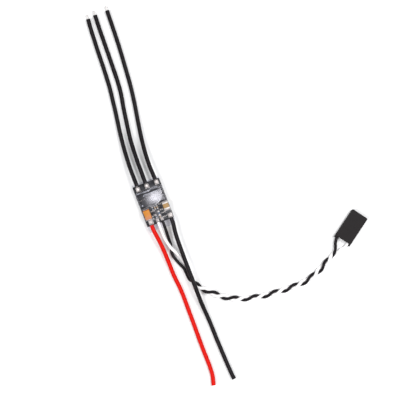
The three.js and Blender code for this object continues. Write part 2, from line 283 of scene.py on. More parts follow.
def bar(bm, size, shape, cuts=4, finish=0):    # a block cut across its length and reshaped by shape
    before = set(bm.faces)
    scaled = Matrix.Diagonal((*size, 1))
    corners = bmesh.ops.create_cube(bm, size=1, matrix=scaled)["verts"]
    lengthways = [
        e for e in edgesOf(corners) if abs(e.verts[0].co.y - e.verts[1].co.y) > size[1] / 2]
    bmesh.ops.subdivide_edges(bm, edges=lengthways, cuts=cuts, use_grid_fill=True)
    added = set(bm.faces) - before
    for corner in {corner for face in added for corner in face.verts}:
        corner.co = shape(corner.co)
    for face in added:
        face.material_index = finish


def fillet(bm, width, reach, height, foot, turn, finish):    # solder drawn up against a terminal
    turned = Matrix.Rotation(turn, 3, "Z")

    def drawn(point):
        away = point.y / reach + 0.5
        top = 0.05 + (height - 0.05) * max(0, 1 - away) ** 2.2
        spread = 1 + 0.25 * away
        local = Vector((point.x * spread, away * reach, top if point.z > 0 else 0))
        return turned @ local + Vector(foot)

    bar(bm, (width, reach, height), drawn, 5, finish)


def standIn(piece, slotName, *nodeNames):    # rides on the one body, in place of any nodes named
    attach(piece, "root")
    if nodeNames:
        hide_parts(*nodeNames)


# ---- silicone leads

def siliconeFinish(name, tone, lift, sheen, roughness):
    finish = Finish(name)
    streaks = finish.grain(0.5, detail=4, stretch=(1, 0.12, 1))
    dust = finish.grain(0.16, detail=3, roughness=0.7).above(0.58, 0.72)
    skin = finish.blend(streaks * 0.6 + dust * 0.3, tone, lift)
    pores = finish.bump(dust * 0.5 + streaks, 0.012, 0.6)
    return finish.done(finish.principled(
        Base_Color=skin, Roughness=streaks * 0.12 + roughness, Specular_IOR_Level=sheen,
        Normal=pores))


blackSilicone = siliconeFinish("blackSilicone", colour(17, 14, 17), colour(40, 36, 39), 0.26, 0.38)
redSilicone = siliconeFinish("redSilicone", colour(196, 13, 6), colour(220, 30, 16), 0.2, 0.42)
whiteSilicone = siliconeFinish(
    "whiteSilicone", colour(238, 236, 237), colour(250, 249, 249), 0.4, 0.4)


def smoothRoute(points, step):    # a curve through the points, sampled about every step
    held = [Vector(point) for point in points]
    held = [held[0] * 2 - held[1], *held, held[-1] * 2 - held[-2]]
    path = []
    for a, b, c, d in zip(held, held[1:], held[2:], held[3:]):
        count = max(1, round((c - b).length / step))
        for i in range(count):
            t = i / count
            bend = (2 * a - 5 * b + 4 * c - d) * t + (3 * b - a - 3 * c + d) * t * t
            path.append(b + ((c - a) + bend) * t / 2)
    return [*path, held[-2]]


def routeLength(path):
    return sum((after - before).length for before, after in zip(path, path[1:]))


def addCord(name, path, diameter, finish):
    data = bpy.data.curves.new(name, "CURVE")
    data.dimensions = "3D"
    data.bevel_depth = diameter / 2 * mm
    data.bevel_resolution = 5
    data.use_fill_caps = True
    data.materials.append(finish)
    spline = data.splines.new("POLY")
    spline.points.add(len(path) - 1)
    for knot, place in zip(spline.points, path):
        knot.co = (*(place * mm), 1)
    cord = bpy.data.objects.new(name, data)
    scene.collection.objects.link(cord)
    return cord


powerLead = {"diameter": 1.8, "step": 0.8}
phaseRoutes = {
    "left": [
        (-3.9, 9.7, 3.3), (-3.9, 12, 3.3), (-3.9, 16, 3.1), (-3.8, 20, 2.7), (-3.4, 26, 2),
        (-2.9, 31, 1.5), (-2.2, 36, 1.15), (-1.4, 41, 0.98), (-0.5, 47.5, 0.92),
        (0.05, 51.5, 0.92), (0.5, 56.5, 0.92), (0.85, 62.5, 0.92), (1.1, 68.5, 0.92),
        (1.4, 74, 0.92), (1.7, 79, 0.92), (2.15, 83.6, 0.92)],
    "middle": [
        (-0.1, 9.7, 3.3), (-0.05, 12, 3.3), (0, 16, 3.1), (0.05, 20, 2.7), (0.3, 26, 2),
        (0.7, 30.5, 1.55), (1.5, 35.8, 1.17), (2.6, 42.7, 0.95), (3.3, 46.2, 0.92),
        (4, 50.5, 0.92), (4.45, 56, 0.92), (4.7, 63, 0.92), (4.95, 70.5, 0.92),
        (5.2, 78, 0.92), (5.5, 84.1, 0.92)],
    "right": [
        (4.35, 9.7, 3.3), (4.25, 12, 3.3), (4.15, 16, 3.1), (4.3, 20.2, 2.7), (4.75, 25, 2.1),
        (5.35, 29.5, 1.6), (6.1, 34, 1.25), (7, 39, 1), (7.9, 44.3, 0.92), (8.6, 49, 0.92),
        (9.2, 54.7, 0.92), (9.65, 60, 0.92), (10.1, 65.5, 0.92), (10.45, 71, 0.92),
        (10.7, 76.5, 0.92), (10.85, 80.5, 0.92), (11, 84.1, 0.92)],
}
positiveRoute = [
    (-4.05, -7.9, 3.3), (-4, -10.5, 3.3), (-3.65, -13.5, 3.1), (-3.3, -17, 2.6), (-3.1, -21, 2),
    (-3.05, -26, 1.4), (-3.05, -30, 1.05), (-2.8, -33.8, 0.94), (-2.45, -38, 0.92),
    (-2.4, -43, 0.92), (-2.5, -48.3, 0.92), (-2.55, -54, 0.92), (-2.7, -60, 0.92),
    (-2.75, -66.5, 0.92), (-2.7, -72.5, 0.92), (-3, -76.8, 0.92), (-4.05, -80.9, 0.92)]
negativeRoute = [
    (4.85, -7.9, 3.3), (4.75, -10.5, 3.3), (4.25, -14, 3.25), (4, -18, 3.2), (3.9, -22, 3.2),
    (3.85, -26, 3.35), (3.8, -30, 3.6), (3.8, -34, 3.7), (3.8, -38, 3.65), (3.75, -42, 3.15),
    (3.75, -46, 2.25), (3.9, -50, 1.4), (4.1, -54, 1), (4.2, -58, 0.92), (4.25, -63, 0.92),
    (4.4, -68, 0.92), (4.6, -74, 0.92), (4.85, -79, 0.92), (5.05, -81.5, 0.92)]

signalWire = {"diameter": 1.3, "step": 0.4, "lengths": {"white": 0.1145, "black": 0.1145}}
# blackOnTop is one place along the pair, in mm, where the black wire is straight above the white
twist = {"radius": 0.7, "pitch": 8.66, "blackOnTop": 13.6, "from": 2.8, "to": 70.2, "perTurn": 16}
whiteBoardRoute = [
    (-1, -7.7, 2.98), (-1, -10, 2.98), (-1.05, -12.6, 2.85), (-0.85, -15.6, 2.5),
    (-0.35, -18.2, 2.25), (0.3, -20.3, 2.1), (1.3, -22.4, 1.65), (2.35, -25, 1),
    (3, -27.5, 0.7), (3.45, -29.5, 0.68), (3.5, -31.2, 0.8)]
blackBoardRoute = [
    (0.95, -7.7, 2.98), (0.95, -10, 2.95), (0.8, -12.5, 2.55), (0.65, -15.7, 1.6),
    (0.5, -18, 0.95), (0.1, -20, 0.68), (-0.35, -21.8, 0.67), (-0.3, -23.6, 0.67),
    (0.3, -25.6, 0.67), (1.2, -28, 0.67), (1.95, -29.7, 0.68), (2.2, -31.2, 0.8)]
pairRoute = [
    (2.8, -31.8, 1.36), (2.95, -33.6, 1.36), (3.6, -36.2, 1.36), (4.8, -38.9, 1.36),
    (6.5, -41.1, 1.36), (9, -43.4, 1.36), (11.9, -46.1, 1.36), (15.3, -48.5, 1.36),
    (19.2, -50.4, 1.36), (23.5, -51.7, 1.36), (27.8, -52.7, 1.36), (32.3, -53.3, 1.36),
    (37, -53.7, 1.36), (41.5, -53.9, 1.36), (46, -53.9, 1.36), (50.2, -53.2, 1.36),
    (54.3, -51.9, 1.36), (58, -50.1, 1.36), (62.4, -47.8, 1.36)]
whitePlugRoute = [
    (63.05, -46.95, 1.35), (64.1, -46.75, 0.76), (65.2, -47.15, 0.7), (66.2, -46.95, 0.7),
    (67.5, -46.35, 0.8), (68.9, -46.2, 1.1), (70.13, -45.57, 1.27), (71.3, -44.72, 1.27)]
blackPlugRoute = [
    (63.2, -47.6, 1.5), (64.3, -46.5, 2.05), (65.3, -45, 1.55), (65.95, -43.3, 1.15),
    (67.05, -41.5, 1.27), (68.34, -40.58, 1.27)]


def twistedPoints(turned):    # points of one wire of the pair, turned round its middle line
    centre = smoothRoute(pairRoute, 0.1)
    points = []
    spacing = twist["pitch"] / twist["perTurn"]
    walked = 0
    wanted = twist["from"]
    for before, after in zip(centre, centre[1:]):
        walked += (after - before).length
        if walked < wanted or walked > twist["to"]:
            continue
        wanted += spacing
        side = (after - before).cross(up).normalized()
        wound = math.tau * (walked - twist["blackOnTop"]) / twist["pitch"]
        angle = math.radians(270 + turned) + wound
        points.append(after + (side * math.cos(angle) + up * math.sin(angle)) * twist["radius"])
    return points


def addLeads():
    leads = {}
    for phase, route in phaseRoutes.items():
        leads[f"lead_phase_{phase}"] = (
            route, powerLead, blackSilicone, "black_silicone", 0.075, [f"phase_lead_{phase}"])
    leads["lead_positive"] = (
        positiveRoute, powerLead, redSilicone, "red_silicone", 0.0735, ["power_lead_positive"])
    leads["lead_negative"] = (
        negativeRoute, powerLead, blackSilicone, "black_silicone", 0.074, ["power_lead_negative"])
    for shade, start, turned, end, finish in (
            ("white", whiteBoardRoute, 0, whitePlugRoute, whiteSilicone),
            ("black", blackBoardRoute, 180, blackPlugRoute, blackSilicone)):
        stoodFor = ["signal_pair_twisted", f"signal_{shade}_board_end", f"signal_{shade}_plug_end"]
        leads[f"wire_signal_{shade}"] = (
            [*start, *twistedPoints(turned), *end], signalWire, finish, f"{shade}_silicone",
            signalWire["lengths"][shade], stoodFor)
    made = {}
    for name, (route, kind, finish, slotName, length, stoodFor) in leads.items():
        path = smoothRoute(route, kind["step"])
        cord = addCord(name, path, kind["diameter"], finish)
        standIn(cord, slotName, *stoodFor)
        print(f"  {name}: {routeLength(path):.1f} mm along its middle")
        made[name] = {
            "cord": cord, "start": path[0], "length": length, "diameter": kind["diameter"]}
    return made


addCamera()
addSoftboxes()
addSurround()
addFloor()
print("camera, lights and floor are in place")
leads = addLeads()
print("leads laid")


# ---- board finishes

def metalFinish(name, tone, roughness, dull, size=0.3, depth=0.004, metallic=1):
    finish = Finish(name)
    cloud = finish.grain(size, detail=4, roughness=0.6)
    pits = finish.grain(size / 4, detail=2)
    skin = finish.blend(cloud.above(0.35, 0.7), tone, dull)
    return finish.done(finish.principled(
        Base_Color=skin, Metallic=metallic, Roughness=cloud * 0.25 + (roughness - 0.1),
        Normal=finish.bump(pits + cloud, depth, 0.7)))


def mouldedFinish(name, tone, lift, roughness, size=0.09, depth=0.006, sheen=0.4, fade=None):
    finish = Finish(name)
    speck = finish.grain(size, detail=3, roughness=0.65)
    cloud = finish.grain(size * 9, detail=2)
    skin = finish.blend(speck * 0.55 + cloud * 0.45, tone, lift)
    if fade:    # towards another tone at the low end of y
        skin = finish.blend(finish.along(1).above(*fade["over"]), fade["tone"], skin)
    return finish.done(finish.principled(
        Base_Color=skin, Roughness=cloud * 0.14 + roughness, Specular_IOR_Level=sheen,
        Normal=finish.bump(speck, depth, 0.8)))


def laminateFinish():    # solder mask over copper areas, with thin gaps between them
    finish = Finish("maskedLaminate")
    cells = {"Vector": finish.place((900, 620, 900)), "Scale": 1, "Randomness": 0.55}
    gap = finish.node(
        "TexVoronoi", {"feature": "DISTANCE_TO_EDGE", "distance": "CHEBYCHEV"}, cells)
    copper = gap.above(0.03, 0.06)
    cloud = finish.grain(0.8, detail=3)
    skin = finish.blend(copper * (cloud * 0.6 + 0.4), colour(9, 9, 11), colour(24, 25, 29))
    return finish.done(finish.principled(
        Base_Color=skin, Roughness=cloud * 0.15 + 0.28, Coat_Weight=0.3, Coat_Roughness=0.15,
        Normal=finish.bump(copper, 0.02, 0.8)))


def fibreglassFinish():    # the sawn edge of the board, glass cloth in layers
    finish = Finish("fibreglassEdge")
    layers = finish.node(
        "TexWave", {"wave_type": "BANDS", "bands_direction": "Z"},
        {"Vector": finish.place((1, 1, 1)), "Scale": 1500, "Distortion": 2, "Detail": 2})
    weave = finish.grain(0.12, detail=3, stretch=(1, 1, 0.3))
    skin = finish.blend(layers * 0.5 + weave * 0.4, colour(66, 64, 44), colour(142, 136, 98))
    return finish.done(finish.principled(
        Base_Color=skin, Roughness=weave * 0.2 + 0.5, Normal=finish.bump(weave, 0.01)))


tinnedSolder = metalFinish(
    "tinnedSolder", (0.95, 0.88, 0.85, 1), 0.28, (0.76, 0.7, 0.67, 1), 0.5, 0.012, 0.38)
terminalTin = metalFinish(
    "terminalTin", (0.82, 0.78, 0.74, 1), 0.4, (0.6, 0.57, 0.54, 1), 0.25, 0.004, 0.45)
contactBrass = metalFinish("contactBrass", (0.83, 0.71, 0.45, 1), 0.3, (0.7, 0.57, 0.34, 1), 0.6)
padTin = metalFinish("padTin", (0.42, 0.39, 0.37, 1), 0.4, (0.24, 0.22, 0.21, 1), 0.3, 0.004, 0.8)
strandTin = metalFinish(
    "strandTin", (0.95, 0.93, 0.92, 1), 0.3, (0.72, 0.7, 0.69, 1), 0.2, 0.004, 0.4)
chipMoulding = mouldedFinish("chipMoulding", colour(12, 11, 14), colour(28, 27, 32), 0.42)
tantalumResin = mouldedFinish(
    "tantalumResin", colour(178, 102, 8), colour(206, 138, 36), 0.34, 0.12, 0.006, 0.3,
    {"over": (-4.9, -2.9), "tone": colour(188, 122, 84)})
tantalumBand = mouldedFinish("tantalumBand", colour(128, 62, 34), colour(160, 88, 52), 0.34, 0.12)
ceramicBody = mouldedFinish(
    "ceramicBody", colour(146, 112, 66), colour(176, 142, 92), 0.36, 0.07, 0.006, 0.3)
paleCeramic = mouldedFinish("paleCeramic", colour(186, 180, 168), colour(222, 218, 208), 0.4, 0.07)
resistorGlaze = mouldedFinish("resistorGlaze", colour(20, 46, 70), colour(48, 88, 120), 0.2, 0.1)
maskedLaminate = laminateFinish()
fibreglassEdge = fibreglassFinish()


# ---- board

laminate = {"size": (12, 18, 1), "middle": (0, 0.9, 1.8), "corner": 0.4, "edgeBreak": 0.04}
boardTop = laminate["middle"][2] + laminate["size"][2] / 2
boardUnder = laminate["middle"][2] - laminate["size"][2] / 2
standOff = 0.03    # the parts sit this far off the laminate, on their pads
copper = {"thickness": 0.05, "edge": 0.02, "padLift": 0.02, "trackLift": 0.015, "underShare": 0.8}
via = {"hole": 0.13, "ring": 0.26, "copper": 0.03, "sides": 12}
viaPlaces = [
    (-5.3, 6.9), (-5.3, 3.3), (5.45, 6.9), (5.45, 3.3), (-1.95, 3.3), (1.95, 3.3), (-1.95, 6.9),
    (1.95, 6.9), (-2.3, -2.2), (-2.3, -3.1), (3.0, -0.5), (1.75, -0.5), (-0.5, -0.5),
    (-1.8, -0.45), (1.6, -4.1), (1.6, -4.9), (-0.1, -4.4), (-0.2, -6.2), (-5.6, -5.5), (5.6, -4.6)]
pads = {    # x, y, width along x, length along y
    "phase_left": (-4.1, 8.2, 1.75, 1.9), "phase_middle": (0, 8.35, 1.75, 1.9),
    "phase_right": (4.4, 8.4, 1.75, 1.9), "positive": (-3.9, -6.55, 2, 2.1),
    "negative": (4.75, -6.65, 1.9, 2), "signal_white": (-0.98, -6.9, 1.25, 1.4),
    "signal_black": (1, -6.9, 1.25, 1.4)}
tracks = [    # x, y, length, width and turn in degrees
    (-3.9, 0.2, 2.6, 0.9, 90), (0.2, -0.75, 3.4, 0.35, 0), (-2.55, -1.5, 1.6, 0.3, 90),
    (3.1, -3.6, 2.2, 0.3, 90), (1.7, -5.6, 1.8, 0.25, 90), (-0.3, -3.3, 1.9, 0.22, 90),
    (0.15, -3.3, 1.9, 0.22, 90), (-1.6, -6.2, 1.5, 0.25, 35), (4.7, 0.1, 2.2, 1.2, 0),
    (-2.4, -4.5, 0.9, 0.25, 0), (0.1, 3.3, 10.6, 0.45, 0), (0.1, 6.95, 10.4, 0.4, 0)]


def addBoard():
    bm = bmesh.new()
    size = laminate["size"]
    block(bm, size, laminate["middle"])
    upright = [e for e in bm.edges if abs(e.verts[0].co.z - e.verts[1].co.z) > size[2] / 2]
    breakEdges(bm, upright, laminate["corner"], 5)
    for face in bm.faces:
        face.material_index = 0 if abs(face.normal.z) > 0.5 else 1
    rim = [e for e in bm.edges if abs(e.verts[0].co.z - e.verts[1].co.z) < 0.01]
    rim = [e for e in rim if e.link_faces[0].material_index != e.link_faces[1].material_index]
    breakEdges(bm, rim, laminate["edgeBreak"])
    board = addPiece("board_laminate", bm, [maskedLaminate, fibreglassEdge])
    drill = bmesh.new()
    for x, y in viaPlaces:
        bmesh.ops.create_cone(
            drill, cap_ends=True, segments=via["sides"], radius1=via["hole"], radius2=via["hole"],
            depth=3 * size[2], matrix=Matrix.Translation((x, y, laminate["middle"][2])))
    carved(board, drill)
    standIn(board, "laminate", "circuit_board")

    bm = bmesh.new()
    for x, y in viaPlaces:    # plated rings on both faces
        for z in (boardTop, boardUnder):
            rings = [bmesh.ops.create_circle(
                bm, radius=via[key], segments=via["sides"], matrix=Matrix.Translation((x, y, z)))
                for key in ("ring", "hole")]
            corners = [corner for ring in rings for corner in ring["verts"]]
            bmesh.ops.bridge_loops(bm, edges=edgesOf(corners))
    bmesh.ops.recalc_face_normals(bm, faces=bm.faces)
    bmesh.ops.solidify(bm, geom=bm.faces[:], thickness=via["copper"])
    thickness, edge, lift = copper["thickness"], copper["edge"], copper["padLift"]
    for x, y, width, length in pads.values():
        block(bm, (width, length, thickness), (x, y, boardTop + lift), edge)
    share = copper["underShare"]
    for x, y, width, length in pads.values():
        block(bm, (width * share, length * share, thickness), (x, y, boardUnder - lift), edge)
    standIn(addPiece("board_pads", bm, [terminalTin]), "solder")

    bm = bmesh.new()
    for x, y, length, width, turn in tracks:
        block(bm, (length, width, thickness), (x, y, boardTop + copper["trackLift"]), edge,
              turn=math.radians(turn))
    standIn(addPiece("board_tracks", bm, [maskedLaminate]), "laminate")


# ---- parts on the board; each takes its place and size from its CAD node

def footprint(node):    # middle, size and whether it hangs under the board, in millimetres
    low, high = (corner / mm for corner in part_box(node))
    middle = (low + high) / 2
    return middle, high - low, middle.z < (boardTop + boardUnder) / 2


def seat(bm, middle, under):    # a part built on z = 0 goes to its place on the board
    if under:
        bmesh.ops.rotate(
            bm, cent=(0, 0, 0), matrix=Matrix.Rotation(math.pi, 3, "Y"), verts=bm.verts)
    height = boardUnder - standOff if under else boardTop + standOff
    bmesh.ops.translate(bm, vec=(middle.x, middle.y, height), verts=bm.verts)


def dimple(middle, size, under, inset, radius):    # a shallow bowl by the first pin
    bm = bmesh.new()
    reach = size.z + standOff - 0.05 + radius * 0.8
    corner = Vector((-size.x / 2 + inset, size.y / 2 - inset, reach))
    bmesh.ops.create_uvsphere(
        bm, u_segments=20, v_segments=12, radius=radius, matrix=Matrix.Translation(corner))
    seat(bm, middle, under)
    return bm


transistor = {"body": 3.1, "leadPitch": 0.65, "leadWidth": 0.36, "leadHeight": 0.24, "draft": 0.965}


def addTransistor(name):
    middle, size, under = footprint(name)
    body = transistor["body"]
    height = size.z - 0.04
    bm = bmesh.new()
    block(bm, (body, body, height), (0, 0, 0.04 + height / 2))
    for corner in bm.verts:
        if corner.co.z > height / 2:
            corner.co.x *= transistor["draft"]
            corner.co.y *= transistor["draft"]
    breakEdges(bm, bm.edges[:], 0.07)
    for side in (-1, 1):
        for step in (-1.5, -0.5, 0.5, 1.5):
            x = step * transistor["leadPitch"]
            lead = (transistor["leadWidth"], 0.4, transistor["leadHeight"])
            block(bm, lead, (x, side * (size.y / 2 - 0.2), 0.14), bevel=0.03, finish=1)
            foot = (x, side * size.y / 2 - side * 0.02, 0)
            fillet(bm, 0.34, 0.2, 0.2, foot, outward(side), 2)
    seat(bm, middle, under)
    piece = addPiece("body_" + name, bm, [chipMoulding, padTin, padTin])
    carved(piece, dimple(middle, size, under, 0.55, 0.5))
    standIn(piece, "chip_moulding", name)


tantalum = {
    "width": 2.85, "length": 4.25, "underside": 0.1, "edge": 0.14, "bandStart": 1.8,
    "terminal": 2.2}


def addTantalum():
    middle, size, under = footprint("tantalum_capacitor")
    bottom = tantalum["underside"]
    height = size.z - bottom
    bm = bmesh.new()
    block(bm, (tantalum["width"], tantalum["length"], height), (0, 0, bottom + height / 2))
    for z in (bottom + height * 0.45, bottom + height * 0.55):
        slicePlane(bm, (0, 0, z), (0, 0, 1))
    for corner in bm.verts:    # draft away from the parting line
        if abs(corner.co.z - bottom - height / 2) > height * 0.3:
            corner.co.x *= 0.95
            corner.co.y *= 0.96
    outer = [e for e in bm.edges if e.calc_face_angle(0) > math.radians(20)]
    breakEdges(bm, outer, tantalum["edge"], 3)
    band = tantalum["bandStart"]
    slicePlane(bm, (0, band, 0), (0, 1, 0))
    for face in bm.faces:
        face.material_index = 1 if face.calc_center_median().y > band else 0
    wide = tantalum["terminal"]
    for side in (-1, 1):
        y = side * (size.y / 2 - 0.07)
        block(bm, (wide, 0.14, 0.95), (0, y, 0.5), bevel=0.04, finish=2)
        block(bm, (wide, 0.9, 0.12), (0, side * (size.y / 2 - 0.45), 0.06), bevel=0.03, finish=2)
        fillet(bm, wide, 0.38, 0.55, (0, side * (size.y / 2 - 0.02), 0), outward(side), 3)
    seat(bm, middle, under)
    piece = addPiece(
        "body_tantalum_capacitor", bm, [tantalumResin, tantalumBand, terminalTin, tinnedSolder])
    standIn(piece, "tantalum_resin", "tantalum_capacitor")


def addChip(name, bodyFinish, slotName, glazed=False):    # two-ended chip lying along y
    middle, size, under = footprint(name)
    cap = size.y * 0.22
    proud = 0.03
    edge = min(0.08, size.z * 0.16)
    bm = bmesh.new()
    core = (size.x - 2 * proud, size.y - 2 * proud, size.z - 2 * proud)
    block(bm, core, (0, 0, size.z / 2), edge)
    if glazed:    # a dark glaze over the resistive layer, between the end caps
        glaze = (size.x * 0.88, size.y - 2 * cap - 0.02, 0.05)
        block(bm, glaze, (0, 0, size.z - 0.02), 0.02, finish=3)
    for side in (-1, 1):
        place = (0, side * (size.y - cap) / 2, size.z / 2)
        block(bm, (size.x, cap, size.z), place, edge, finish=1)
        fillet(bm, size.x * 0.95, min(0.42, size.y * 0.22), size.z * 0.62,
               (0, side * (size.y / 2 - 0.02), 0), outward(side), 2)
    seat(bm, middle, under)
    piece = addPiece(
        "body_" + name, bm, [bodyFinish, terminalTin, tinnedSolder, resistorGlaze])
    standIn(piece, slotName, name)


package = {"leadWidth": 0.3, "leadThickness": 0.13, "reach": 0.35}


def addLeadedPackage(name, bodyY, leadsX):    # gull-wing leads out of both long sides
    middle, size, under = footprint(name)
    bm = bmesh.new()
    body = (size.x, bodyY, size.z - 0.08)
    block(bm, body, (0, 0, 0.08 + body[2] / 2))
    for z in (0.42 * size.z, 0.52 * size.z):
        slicePlane(bm, (0, 0, z), (0, 0, 1))
    for corner in bm.verts:
        if abs(corner.co.z - 0.47 * size.z) > 0.2 * size.z:
            corner.co.x *= 0.95
            corner.co.y *= 0.93
    outer = [e for e in bm.edges if e.calc_face_angle(0) > math.radians(20)]
    breakEdges(bm, outer, 0.05)
    thickness = package["leadThickness"]
    reach = package["reach"]
    for side in (-1, 1):
        for x in leadsX:
            def formed(point):
                out = point.y / (reach + 0.1) + 0.5    # 0 in the body, 1 at the toe
                fall = min(1, max(0, (out - 0.25) / 0.4))
                drop = fall * fall * (3 - 2 * fall)
                z = 0.45 * size.z * (1 - drop) + thickness / 2 * drop + 0.02
                y = side * (bodyY / 2 - 0.1 + out * (reach + 0.1))
                return Vector((x + point.x, y, z + point.z))
            bar(bm, (package["leadWidth"], reach + 0.1, thickness), formed, 9, 1)
            foot = (x, side * (bodyY / 2 + reach - 0.02), 0)
            fillet(bm, package["leadWidth"] * 1.1, 0.14, 0.16, foot, outward(side), 2)
    bmesh.ops.recalc_face_normals(bm, faces=bm.faces)
    seat(bm, middle, under)
    piece = addPiece("body_" + name, bm, [chipMoulding, terminalTin, tinnedSolder])
    carved(piece, dimple(middle, Vector((size.x, bodyY, size.z)), under, 0.3, 0.24))
    standIn(piece, "chip_moulding", name)


quad = {"padPitch": 0.5, "padWidth": 0.24, "padHeight": 0.2, "padsEachSide": 8}


def addMicrocontroller():
    middle, size, under = footprint("microcontroller")
    bm = bmesh.new()
    block(bm, (size.x, size.y, size.z - 0.03), (0, 0, 0.03 + (size.z - 0.03) / 2), 0.05)
    for quarter in range(4):
        turned = Matrix.Rotation(quarter * math.pi / 2, 3, "Z")
        for i in range(quad["padsEachSide"]):
            along = (i - (quad["padsEachSide"] - 1) / 2) * quad["padPitch"]
            place = turned @ Vector((along, size.y / 2 - 0.15, quad["padHeight"] / 2))
            block(bm, (quad["padWidth"], 0.34, quad["padHeight"]), place, 0.02, 1, 1,
                  turn=quarter * math.pi / 2)
            foot = turned @ Vector((along, size.y / 2, 0))
            fillet(bm, 0.24, 0.2, 0.16, foot, quarter * math.pi / 2, 2)
    seat(bm, middle, under)
    piece = addPiece("body_microcontroller", bm, [chipMoulding, terminalTin, tinnedSolder])
    carved(piece, dimple(middle, size, under, 0.7, 0.6))
    standIn(piece, "chip_moulding", "microcontroller")


def addResonator():
    middle, size, under = footprint("resonator")
    bm = bmesh.new()
    block(bm, (size.x, size.y - 0.04, size.z * 0.55), (0, 0, size.z * 0.3), 0.04)
    block(bm, (size.x - 0.16, size.y - 0.16, size.z * 0.5), (0, 0, size.z * 0.75), 0.1, 3)
    for x in (-1.2, 0, 1.2):
        block(bm, (0.5, size.y, size.z * 0.5), (x, 0, size.z * 0.26), 0.03, finish=1)
        for side in (-1, 1):
            fillet(bm, 0.5, 0.25, 0.3, (x, side * size.y / 2, 0), outward(side), 2)
    seat(bm, middle, under)
    piece = addPiece("body_resonator", bm, [paleCeramic, terminalTin, tinnedSolder])
    standIn(piece, "ceramic_chip", "resonator")


addBoard()
print("board and its pads made")
for row in ("high", "low"):
    for phase in phaseRoutes:
        addTransistor(f"transistor_{row}_{phase}")
addTantalum()
addChip("ceramic_capacitor", ceramicBody, "ceramic_chip")
addLeadedPackage("driver_pair_left", 1.2, (-0.65, 0, 0.65))
addLeadedPackage("driver_pair_middle", 2, (-0.325, 0.325))
addLeadedPackage("driver_pair_right", 1.2, (-0.65, 0, 0.65))
addLeadedPackage("voltage_regulator", 1.5, (-0.95, 0, 0.95))
addMicrocontroller()
addResonator()
for number in range(1, 7):
    addChip(f"capacitor_{number}", ceramicBody, "ceramic_chip")
for number in range(1, 8):
    addChip(f"resistor_{number}", paleCeramic, "resistor_chip", glazed=True)
print("parts soldered to the board")


# ---- solder joints with the tinned strands of their leads

joint = {"voxel": 0.075, "smoothing": 5, "roughness": 0.05}
# x, y, mound radius, mound height, strand radius, strand reach in y, strand height
solderJoints = {
    "phase_left": (-4, 8.2, 0.95, 1.45, 0.5, 1.5, 1),
    "phase_middle": (0, 8.4, 0.95, 1.45, 0.5, 1.3, 1),
    "phase_right": (4.4, 8.5, 0.95, 1.45, 0.5, 1.2, 1),
    "positive": (-3.9, -6.5, 1, 1.4, 0.5, -1.4, 1),
    "negative": (4.8, -6.6, 1, 1.4, 0.5, -1.3, 1),
    "signal_white": (-0.98, -6.85, 0.55, 0.85, 0.3, -0.85, 0.68),
    "signal_black": (1, -6.85, 0.55, 0.85, 0.3, -0.85, 0.68)}


# a bundle of twisted strands as one lobed rod
def strandRod(bm, radius, length, turns, start, along, strands=6, steps=12):
    ring = bmesh.ops.create_circle(bm, cap_ends=True, radius=radius, segments=strands * 6)
    for corner in ring["verts"]:
        angle = math.atan2(corner.co.y, corner.co.x)
        corner.co *= 1 - 0.16 * (1 - abs(math.cos(strands / 2 * angle)))
    face = ring["verts"][0].link_faces[0]
    before = set(bm.verts) - set(ring["verts"])
    bmesh.ops.spin(
        bm, geom=[face], cent=(0, 0, 0), axis=(0, 0, 1), dvec=(0, 0, length / steps),
        angle=turns * math.tau, steps=steps, use_merge=False, use_duplicate=False)
    rod = [corner for corner in bm.verts if corner not in before]
    turned = up.rotation_difference(along)
    bmesh.ops.rotate(bm, cent=(0, 0, 0), matrix=turned.to_matrix(), verts=rod)
    bmesh.ops.translate(bm, vec=start, verts=rod)
    return rod


def addSolder(name):
    x, y, radius, height, strandRadius, reach, strandHeight = solderJoints[name]
    base = boardTop + standOff
    bm = bmesh.new()
    outline = [    # shares of the mound's radius and height
        (1.08, 0), (1.01, 0.06), (0.96, 0.24), (0.88, 0.5), (0.66, 0.82), (0.34, 0.97), (0, 1)]
    knots = [bm.verts.new((share * radius, 0, rise * height)) for share, rise in outline]
    edges = [bm.edges.new(pair) for pair in zip(knots, knots[1:])]
    bmesh.ops.spin(
        bm, geom=knots + edges, cent=(0, 0, 0), axis=(0, 0, 1), angle=math.tau, steps=28,
        use_merge=True, use_duplicate=False)
    bmesh.ops.remove_doubles(bm, verts=bm.verts, dist=0.001)
    bmesh.ops.holes_fill(bm, edges=[e for e in bm.edges if e.is_boundary])
    wick = Matrix.Translation((0, reach * 0.3, strandHeight * 0.86))
    wick = wick @ Matrix.Diagonal((strandRadius * 1.2, abs(reach) * 0.55, strandRadius * 1.25, 1))
    bmesh.ops.create_uvsphere(bm, u_segments=24, v_segments=16, radius=1, matrix=wick)
    for corner in bm.verts:
        if corner.co.z > 0.05:
            shift = noise.noise_vector(corner.co * 0.9 / radius + Vector((x, y, 0)))
            corner.co += shift * joint["roughness"] * radius
    bmesh.ops.recalc_face_normals(bm, faces=bm.faces)
    bmesh.ops.translate(bm, vec=(x, y, base), verts=bm.verts)
    voxel = joint["voxel"] * (0.7 if radius < 0.8 else 1)
    piece = addPiece("joint_" + name, bm, [tinnedSolder], 180, [
        ("REMESH", {"mode": "VOXEL", "voxel_size": voxel, "use_smooth_shade": True}),
        ("SMOOTH", {"factor": 0.5, "iterations": joint["smoothing"]})])
    standIn(piece, "solder", "solder_" + name)
    bm = bmesh.new()
    towards = Vector((0, math.copysign(1, reach), 0))
    start = Vector((x, y, base + strandHeight - 0.05))
    strandRod(bm, strandRadius, abs(reach) + 0.3, 0.2, start, towards)
    bmesh.ops.recalc_face_normals(bm, faces=bm.faces)
    standIn(addPiece("strands_" + name, bm, [padTin]), "solder")


for name in solderJoints:
    addSolder(name)
print("leads soldered")


# ---- free ends: tinned tips on the phase leads, cut strands in the power leads

